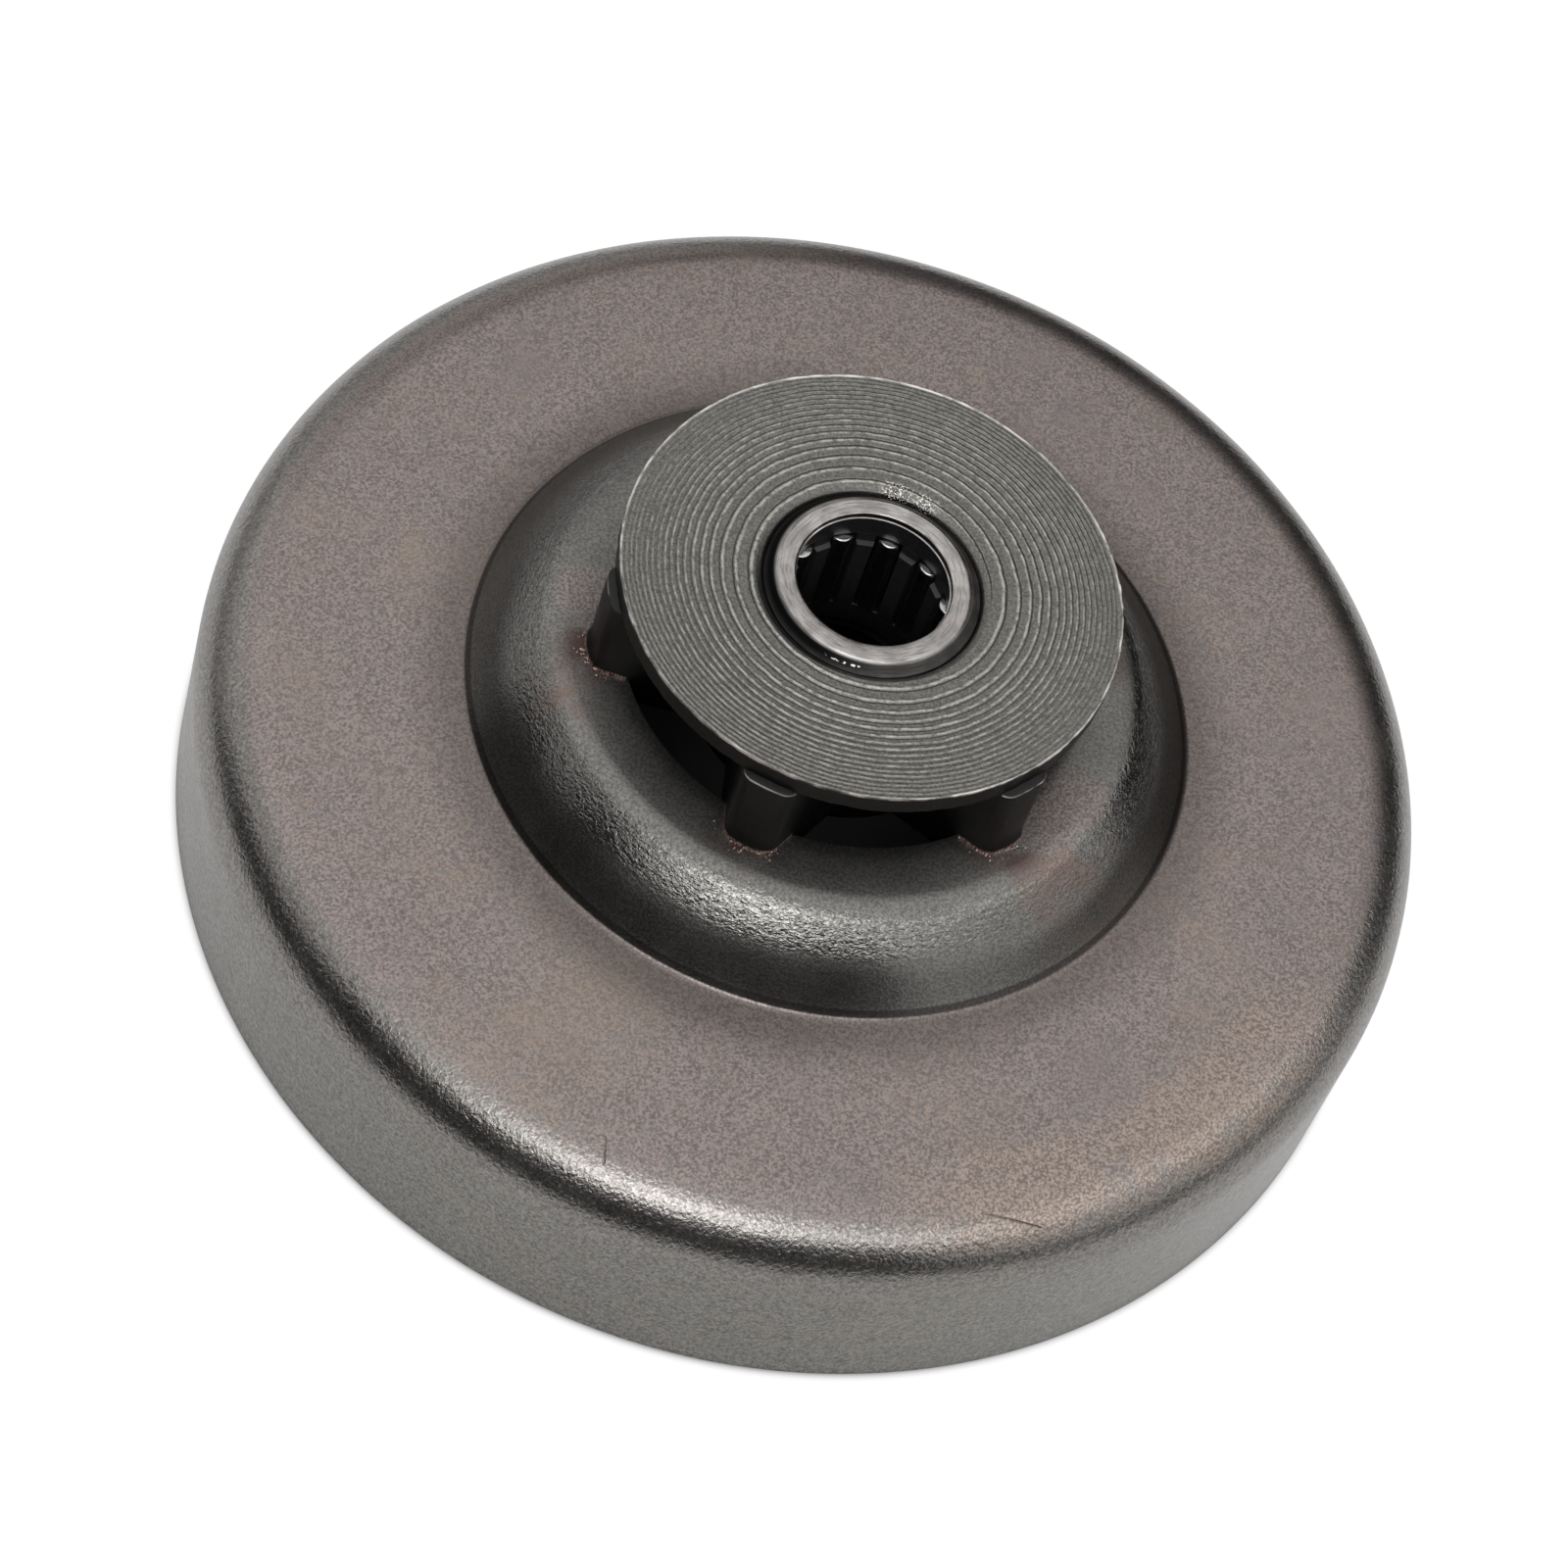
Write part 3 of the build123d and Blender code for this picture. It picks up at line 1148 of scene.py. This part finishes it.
    def _star(self, bm: BMesh) -> None:
        """Builds the toothed hub from the foot of the teeth up to the flange and down to its tail.

        Args:
            bm: The mesh to build in.
        """
        low = self.tail_bottom
        under = self.flange_bottom + self.flange_overlap
        foot = self._outline(bm)
        bmesh.ops.translate(bm, verts=bm.verts, vec=(0, 0, self.foot_top * MM))

        def to(radius: float | None, height: float) -> Callable[[Vector], Vector]:
            """Gives a move to a height and, if one is given, a radius."""
            return lambda co: Vector((*(at_radius(co, radius) if radius else co).xy, height * MM))

        def on_ledge(vert: BMVert) -> bool:
            """Tells whether a point lies under the flange, outside the spigot."""
            return abs(vert.co.z - under * MM) < MERGE_REACH and vert.co.xy.length > self.spigot_radius * MM

        top = grow(bm, foot, to(None, under))
        grow(bm, top, to(self.bore_radius, under))
        loop = foot
        for height, spread in self.swellings:
            loop = grow(bm, loop, lambda co: self._brazed(co, height, spread))
        loop = grow(bm, loop, lambda co: within(co, self.spigot_radius))
        loop = grow(bm, loop, to(None, self.spigot_bottom))
        steps = [
            (self.tail_radius, self.spigot_bottom),
            (self.tail_radius, low + self.tail_chamfer),
            (self.tail_radius - self.tail_chamfer, low),
            (self.bore_radius + self.tail_chamfer, low),
            (self.bore_radius, low + self.tail_chamfer),
            (self.bore_radius, under),
        ]
        for radius, height in steps:
            loop = grow(bm, loop, to(radius, height))
        bmesh.ops.remove_doubles(bm, verts=bm.verts, dist=MERGE_REACH)
        bmesh.ops.recalc_face_normals(bm, faces=bm.faces)
        high = [edge for edge in bm.edges if all(on_ledge(vert) for vert in edge.verts)]
        ledge = [edge for edge in high if edge.calc_face_angle(0.0) > self.ledge_bend]
        soften(bm, ledge, self.ledge_round, self.ledge_segments, Affect.EDGES)

    def _brazed(self, co: Vector, height: float, spread: float) -> Vector:
        """Lowers a point of a tooth's foot and swells the foot outwards at the middle of its tip.

        Args:
            co: The point.
            height: Its new height, in millimetres.
            spread: How far the middle of the tip swells, in millimetres.

        Returns:
            The moved point.
        """
        pitch = FULL_TURN / self.teeth
        middle = round(math.atan2(co.y, co.x) / pitch) * pitch
        outward = self._polar(1.0, middle) / MM
        aside = (co - outward * co.dot(outward)).xy.length / MM
        share = max(1.0 - (aside / (self.swelling_half * self.tip_width)) ** 2, 0.0)
        if co.xy.length < self.spigot_radius * MM:
            share = 0.0
        moved = co + outward * spread * share * MM
        return Vector((moved.x, moved.y, height * MM))

    def _add_crumbs(self, bm: BMesh) -> None:
        """Strews crumbs of braze on the land round the foot of each tooth.

        Args:
            bm: The mesh to add them to.
        """
        dice = random.Random(self.crumb_seed)
        half = self.tip_width / 2
        for tooth in range(self.teeth):
            turn = Matrix.Rotation(FULL_TURN * tooth / self.teeth, 4, "Z")
            for _ in range(self.crumbs_per_tooth):
                around = dice.uniform(-self.crumb_arc, self.crumb_arc)
                away = half + self.crumb_gap + self.crumb_spread * dice.random() ** 2
                out = self.tip_radius - half + away * math.cos(around)
                spot = Vector((out, away * math.sin(around), self.land))
                if noise.noise(spot + Vector((0, 0, self.crumb_drift * tooth))) < 0.0:
                    continue
                size = self.crumb_size * dice.uniform(*self.crumb_sizes)
                width = size * dice.uniform(*self.crumb_widths)
                squash = Matrix.Diagonal((size, width, size * self.crumb_squash, 1.0))
                place = turn @ Matrix.Translation(spot) @ Matrix.Rotation(dice.uniform(0, 3), 4, "Z") @ squash
                bmesh.ops.create_icosphere(bm, subdivisions=1, radius=1.0, matrix=Matrix.Scale(MM, 4) @ place)

    def _flange(self) -> BMesh:
        """Turns the flange and cuts the spiral ridges and the burr into its face.

        Returns:
            The flange's mesh.
        """
        bore, face = self.bore_radius, self.face
        bm = Lathe(self.flange_steps, self.flange_span).turn(
            [
                Corner(bore, face - self.sink_depth - self.sink_below, span=self.sink_span),
                Corner(bore + self.sink_width / 3, face - self.sink_depth / 2, span=self.sink_span),
                Corner(bore + self.sink_width, face, span=self.face_span),
                Corner(self.flange_radius, face),
                Corner(self.flange_radius, self.flange_bottom),
                Corner(bore, self.flange_bottom),
            ]
        )
        for vert in bm.verts:
            if vert.co.z > face * MM - NEAR:
                vert.co.z += self._relief(vert.co) * MM
            if vert.co.xy.length > self.flange_radius * MM - NEAR:
                nick = abs(noise.noise(vert.co / (self.nick_size * MM)))
                vert.co = at_radius(vert.co, self.flange_radius - self.nick_depth * nick)
        return bm

    def _ridge_place(self, co: Vector, reach: float) -> float:
        """Gives how far a point lies outside the nearest ridge of the spiral.

        Args:
            co: The point.
            reach: Its radius, in millimetres.

        Returns:
            The distance, in millimetres.
        """
        angle = math.atan2(co.y, co.x)
        wander = sum(depth * noise.noise(co / (size * MM)) for depth, size in self.ridge_wanders)
        start = reach - self.ridge_offset * math.sin(angle + self.ridge_turn) + wander
        inner = max(k for k, radius in enumerate(self.ridge_radii[:-1]) if radius <= start or k == 0)
        low, high = self.ridge_radii[inner : inner + 2]
        phase = (start - low) / (high - low) - (angle / FULL_TURN + 0.5)
        return (phase - round(phase)) * (high - low)

    def _relief(self, co: Vector) -> float:
        """Gives the height of the turned face above its plane.

        Args:
            co: A point of the face.

        Returns:
            The height, in millimetres.
        """
        reach = co.xy.length / MM
        aside = self._ridge_place(co, reach)
        inward = (self.flange_radius - reach) / (self.flange_radius - self.bore_radius)
        width = self.ridge_width * (1.0 + inward)
        crest = math.exp(-((aside / width) ** 2)) * self.ridge_height * ragged(co, *self.ridge_torn)
        furrow_place = (aside - self.furrow_aside * width) / self.furrow_width
        furrow = math.exp(-(furrow_place**2)) * self.furrow_depth
        face = ramp(reach, self.bore_radius + self.sink_width, self.fade)
        face *= self.rim_relief + self.bore_relief * inward
        rim = ramp(reach, self.flange_radius - self.burr_width, self.fade)
        return (crest - furrow) * face + self.burr_height * rim * ragged(co, *self.burr_torn)

    def build(self) -> bpy.types.Object:
        """Builds the star and the flange as one piece.

        Returns:
            The sprocket.
        """
        bm = bmesh.new()
        self._star(bm)
        self._add_crumbs(bm)
        return finished(merged(bm, self._flange()), "toothed_hub", self.crease)

    def dress(self, piece: bpy.types.Object) -> None:
        """Gives the sprocket its finish."""
        fit_piece(piece, Body.DRUM.value, SinteredSteel("turned_sinter").material(), self.node)


@dataclass
class NeedleBearing:
    """The drawn shell, its cage and its needles."""

    steps: int = 128
    # The shell
    shell_node: str = "bearing_shell"
    wall: float = 0.47
    lip: float = 0.55
    corner_round: float = 0.9
    lip_bevel: float = 0.75
    bevel_round: float = 0.4
    lip_fall: float = 0.06
    lip_bead: float = 0.07
    bead_foot: float = 1.6
    bead_round: float = 0.16
    lip_radius: float = 4.6
    lip_round: float = 0.12
    shell_span: float = 0.6
    shell_crease: float = 28.0
    # The needles
    needle_prefix: str = "needle_"
    needle_count: int = 11
    first_needle: float = 65.0
    needle_chamfer: float = 0.15
    needle_crown: float = 0.12
    needle_eye: float = 0.02
    needle_steps: int = 32
    needle_span: float = 1.2
    needle_crease: float = 50.0
    # The cage
    cage_node: str = "needle_cage"
    pocket_half: float = 0.83
    ring_height: float = 1.75
    ring_radius: float = 4.9
    ring_span: float = 2.0
    bar_radius: float = 4.6
    bar_setback: float = 0.7
    bar_slope: float = 0.12
    edge_round: float = 0.07
    cage_crease: float = 40.0

    def build(self) -> dict[str, bpy.types.Object]:
        """Builds the shell, the cage and the needles.

        Returns:
            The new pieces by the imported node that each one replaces.
        """
        pieces = {self.shell_node: self._shell(), self.cage_node: self._cage()}
        for node in sorted(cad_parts):
            if node.startswith(self.needle_prefix) and node != self.cage_node:
                pieces[node] = self._needle(node)
        return pieces

    def _shell(self) -> bpy.types.Object:
        """Spins the drawn cup with its two turned-in lips.

        Returns:
            The shell.
        """
        outside, bottom, top = extent(self.shell_node)
        race = outside - self.wall
        inner_round = self.corner_round - self.wall
        bead = self.lip_radius + self.lip_bead
        under = top - self.lip
        bm = Lathe(self.steps, self.shell_span).turn(
            [
                Corner(outside, bottom, self.corner_round),
                Corner(outside, top - self.lip_bevel),
                Corner(outside - self.lip_bevel, top, self.bevel_round),
                Corner(bead, top - self.lip_fall, self.bead_round, segments=4),
                Corner(bead, under + self.bead_foot * self.lip_bead),
                Corner(self.lip_radius, under + self.lip_bead),
                Corner(self.lip_radius, under),
                Corner(race, under, inner_round, segments=5),
                Corner(race, bottom + self.lip, inner_round, segments=5),
                Corner(self.lip_radius, bottom + self.lip, self.lip_round, segments=3),
                Corner(self.lip_radius, bottom, self.lip_round, segments=3),
            ]
        )
        return finished(bm, "drawn_shell", self.shell_crease)

    def _cage(self) -> bpy.types.Object:
        """Spins the cage's two rings and sets the bars between them.

        Returns:
            The cage.
        """
        outside, bottom, top = extent(self.cage_node)
        rings = []
        for start in (bottom, top - self.ring_height):
            end = start + self.ring_height
            places = ((outside, start), (outside, end), (self.ring_radius, end), (self.ring_radius, start))
            corners = [Corner(*place, self.edge_round, segments=3) for place in places]
            rings.append(Lathe(self.steps, self.ring_span).turn(corners))
        bars = self._bars(outside, bottom + self.ring_height, top - self.ring_height)
        return finished(merged(*rings, bars), "moulded_cage", self.cage_crease)

    def _bars(self, outside: float, bottom: float, top: float) -> BMesh:
        """Grows one bar upwards from its outline and repeats it between the needles.

        Args:
            outside: The cage's outer radius.
            bottom: The top of the lower ring.
            top: The bottom of the upper ring.

        Returns:
            The mesh of all the bars.
        """
        step = self.bar_setback - self.bar_slope
        sections = [
            (bottom + step, self.ring_radius),
            (bottom + self.bar_setback, self.bar_radius),
            (top - self.bar_setback, self.bar_radius),
            (top - step, self.ring_radius),
            (top + self.edge_round, self.ring_radius),
        ]
        bm = bmesh.new()
        ends = ((self.ring_radius, -1), (self.ring_radius, 1), (outside, 1), (outside, -1))
        foot = [bm.verts.new(self._bar_corner(*end, bottom - self.edge_round)) for end in ends]
        loop = [bm.edges.new(pair) for pair in zip(foot, foot[1:] + foot[:1])]
        for height, inner in sections:
            loop = grow(bm, loop, lambda co: self._bar_lift(co, height, inner, outside))
        bmesh.ops.holes_fill(bm, edges=bm.edges, sides=4)
        bmesh.ops.recalc_face_normals(bm, faces=bm.faces)
        pitch = FULL_TURN / self.needle_count
        turn = Matrix.Rotation(math.radians(self.first_needle) + pitch / 2, 3, "Z")
        bmesh.ops.rotate(bm, verts=bm.verts, cent=(0, 0, 0), matrix=turn)
        copies = self.needle_count - 1
        spin(bm, copies, pitch * copies, use_duplicate=True)
        return bm

    def _bar_corner(self, radius: float, side: int, height: float) -> Vector:
        """Gives one corner of the bar on +X: its sides run along the pockets beside it."""
        angle = side * (math.pi / self.needle_count - math.asin(self.pocket_half / radius))
        return Vector((radius * math.cos(angle), radius * math.sin(angle), height)) * MM

    def _bar_lift(self, co: Vector, height: float, inner: float, outside: float) -> Vector:
        """Moves a corner of the bar to the next section."""
        radius = outside if co.xy.length > outside * MM - NEAR else inner
        return self._bar_corner(radius, 1 if co.y > 0 else -1, height)

    def _needle(self, node: str) -> bpy.types.Object:
        """Spins one needle with chamfered, slightly crowned ends in its own place.

        Args:
            node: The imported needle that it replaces.

        Returns:
            The needle.
        """
        low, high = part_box(node)
        middle = (low + high) / 2
        radius = (high.x - low.x) / 2 / MM
        _, bottom, top = extent(node)
        bm = Lathe(self.needle_steps, self.needle_span).turn(
            [
                Corner(self.needle_eye, bottom),
                Corner(radius, bottom + self.needle_crown, self.needle_chamfer, segments=4),
                Corner(radius, top - self.needle_crown, self.needle_chamfer, segments=4),
                Corner(self.needle_eye, top),
            ]
        )
        bmesh.ops.translate(bm, verts=bm.verts, vec=(middle.x, middle.y, 0))
        return finished(bm, node.replace("needle", "roller"), self.needle_crease)

    def dress(self, pieces: dict[str, bpy.types.Object]) -> None:
        """Gives the shell, the cage and the needles their finishes.

        Args:
            pieces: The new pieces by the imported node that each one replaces.
        """
        needle_steel = NeedleSteel("ground_needle").material()
        for node, piece in pieces.items():
            if node == self.shell_node:
                fit_piece(piece, Body.DRUM.value, BearingSteel("drawn_steel").material(), node)
            elif node == self.cage_node:
                fit_piece(piece, Body.CAGE.value, MouldedBlack("moulded_black").material(), node)
            else:
                fit_piece(piece, node, needle_steel, node)


@dataclass(frozen=True)
class Softbox:
    """A rectangular lamp: where it stands and aims, its size in metres and how bright it looks."""

    name: str
    place: Triple
    size: Pair
    brightness: float
    aim: Triple = (0.0, 0.0, 0.01)
    twist: float = 0.0

    def build(self) -> None:
        """Adds the lamp."""
        lamp = bpy.data.lights.new(self.name, "AREA")
        lamp.shape = "RECTANGLE"
        lamp.size, lamp.size_y = self.size
        lamp.energy = self.brightness * math.pi * self.size[0] * self.size[1]
        stand = bpy.data.objects.new(self.name, lamp)
        stand.location = self.place
        beam = (Vector(self.aim) - Vector(self.place)).to_track_quat("-Z", "Y")
        stand.rotation_euler = (beam @ Quaternion((0, 0, 1), math.radians(self.twist))).to_euler()
        bpy.context.scene.collection.objects.link(stand)


@dataclass(frozen=True)
class Studio:
    """The pale floor, the lamps, the dim room and the camera."""

    # The camera: angles in degrees, lengths in metres, the lens in millimetres
    azimuth: float = -24.226
    elevation: float = 55.195
    roll: float = 20.658
    aim: Triple = (0.000270, 0.002374, 0.001582)
    distance: float = 0.31168
    lens: float = 113.47
    clip_start: float = 0.01
    # The floor's size in metres, and the colours and levels of floor and room
    floor_half: float = 3.0
    floor_drop: float = 0.00002
    floor_crease: float = 30.0
    floor_colour: Colour = grey(0.85)
    shade_colour: Colour = grey(0.06)
    white: Colour = grey(1.0)
    room_level: float = 0.04
    white_level: float = 1.06
    white_to_camera: float = 0.88
    white_to_mirror: float = 0.15
    # The pale part of the floor, in millimetres
    drum_radius: float = 38.0
    drum_soft: float = 0.5
    pale_middle: Pair = (12.7, 27.2)
    pale_reach: Pair = (95.0, 130.0)
    lamps: tuple[Softbox, ...] = (
        Softbox("ceiling", (0.183, -0.14, 0.9), (2.05, 2.1), 1.1, (0.183, -0.14, 0.0), -25.0),
        Softbox("crown", (-0.246, -0.393, 0.771), (0.55, 0.22), 0.5),
        Softbox("key", (-0.225, -0.586, 0.628), (0.42, 0.25), 3.0),
        Softbox("wide_key", (-0.183, -0.573, 0.601), (1.0, 0.28), 1.4),
        Softbox("right_wall", (0.778, -0.545, 0.42), (1.4, 0.84), 0.85),
        Softbox("backdrop", (-0.465, 0.997, 0.33), (1.8, 0.66), 0.65),
        Softbox("left_wall", (-0.682, 0.394, 0.596), (1.15, 0.46), 0.7),
    )

    def build(self) -> None:
        """Builds the whole studio."""
        self._room()
        self._floor()
        for lamp in self.lamps:
            lamp.build()
        self._camera()
        bpy.context.scene.view_settings.view_transform = "Standard"

    def _white_share(self, web: Web, outside: Value, near: Value) -> Value:
        """Gives the share of plain white in the floor: most to the camera, little in mirrors.

        Args:
            web: The floor's node tree.
            outside: Where the floor lies outside the drum.
            near: Where the floor is pale.

        Returns:
            The share.
        """
        rays = web.node("ShaderNodeLightPath", {}, {}, "Is Camera Ray")
        mirrored = rays.sibling("Is Glossy Ray").largest(rays.sibling("Is Transmission Ray"))
        return (rays * self.white_to_camera).largest(mirrored * near * self.white_to_mirror) * outside

    def _room(self) -> None:
        """Makes the dim room, white to the camera."""
        world = bpy.data.worlds.new("room")
        world.use_nodes = True
        web = Web(world.node_tree)
        camera = web.node("ShaderNodeLightPath", {}, {}, "Is Camera Ray")
        shade = web.blend(camera, grey(self.room_level), self.white)
        light = web.node("ShaderNodeBackground", {}, {"Color": shade, "Strength": 1.0})
        web.node("ShaderNodeOutputWorld", {}, {"Surface": light}, None)
        bpy.context.scene.world = world

    def _floor(self) -> None:
        """Makes the pale floor, which keeps the object's shadow and is clear from below."""
        bm = bmesh.new()
        bmesh.ops.create_grid(bm, x_segments=1, y_segments=1, size=self.floor_half)
        bmesh.ops.translate(bm, verts=bm.verts, vec=(0, 0, -self.floor_drop))
        floor = finished(bm, "floor", self.floor_crease)
        made = bpy.data.materials.new("pale_floor")
        made.use_nodes = True
        web = Web(made.node_tree)
        place = Place(web)
        outside = place.radius.rise(self.drum_radius - self.drum_soft, self.drum_radius + self.drum_soft)
        near = place.distance(*self.pale_middle).fall(*self.pale_reach)
        tint = web.blend(outside * near, self.shade_colour, self.floor_colour)
        matt = web.node("ShaderNodeBsdfDiffuse", {}, {"Color": tint})
        white = web.node("ShaderNodeEmission", {}, {"Color": self.white, "Strength": self.white_level})
        share = self._white_share(web, outside, near)
        pale = web.node("ShaderNodeMixShader", {}, {0: share, 1: matt, 2: white})
        clear = web.node("ShaderNodeBsdfTransparent", {}, {})
        below = web.node("ShaderNodeNewGeometry", {}, {}, "Backfacing")
        shown = web.node("ShaderNodeMixShader", {}, {0: below, 1: pale, 2: clear})
        web.node("ShaderNodeOutputMaterial", {}, {"Surface": shown}, None)
        floor.data.materials.append(made)

    def _camera(self) -> None:
        """Sets the camera at the photograph's angle, with its roll."""
        azimuth, elevation, roll = (math.radians(a) for a in (self.azimuth, self.elevation, self.roll))
        level = math.cos(elevation)
        back = Vector((math.sin(azimuth) * level, -math.cos(azimuth) * level, math.sin(elevation)))
        flat = Vector((math.cos(azimuth), math.sin(azimuth), 0.0))
        upright = back.cross(flat)
        right = flat * math.cos(roll) + upright * math.sin(roll)
        above = upright * math.cos(roll) - flat * math.sin(roll)
        lens = bpy.data.cameras.new("camera")
        lens.lens = self.lens
        lens.clip_start = self.clip_start
        stand = bpy.data.objects.new("camera", lens)
        turn = Matrix((right, above, back)).transposed().to_4x4()
        stand.matrix_world = Matrix.Translation(Vector(self.aim) + back * self.distance) @ turn
        bpy.context.scene.collection.objects.link(stand)
        bpy.context.scene.camera = stand


def main() -> None:
    """Builds and dresses the drum, the sprocket and the bearing, then the studio."""
    logging.basicConfig(level=logging.INFO, format="%(message)s")
    drum = ClutchDrum()
    drum.dress(drum.build())
    sprocket = Sprocket()
    sprocket.dress(sprocket.build())
    bearing = NeedleBearing()
    bearing.dress(bearing.build())
    Studio().build()


if __name__ == "__main__":
    main()
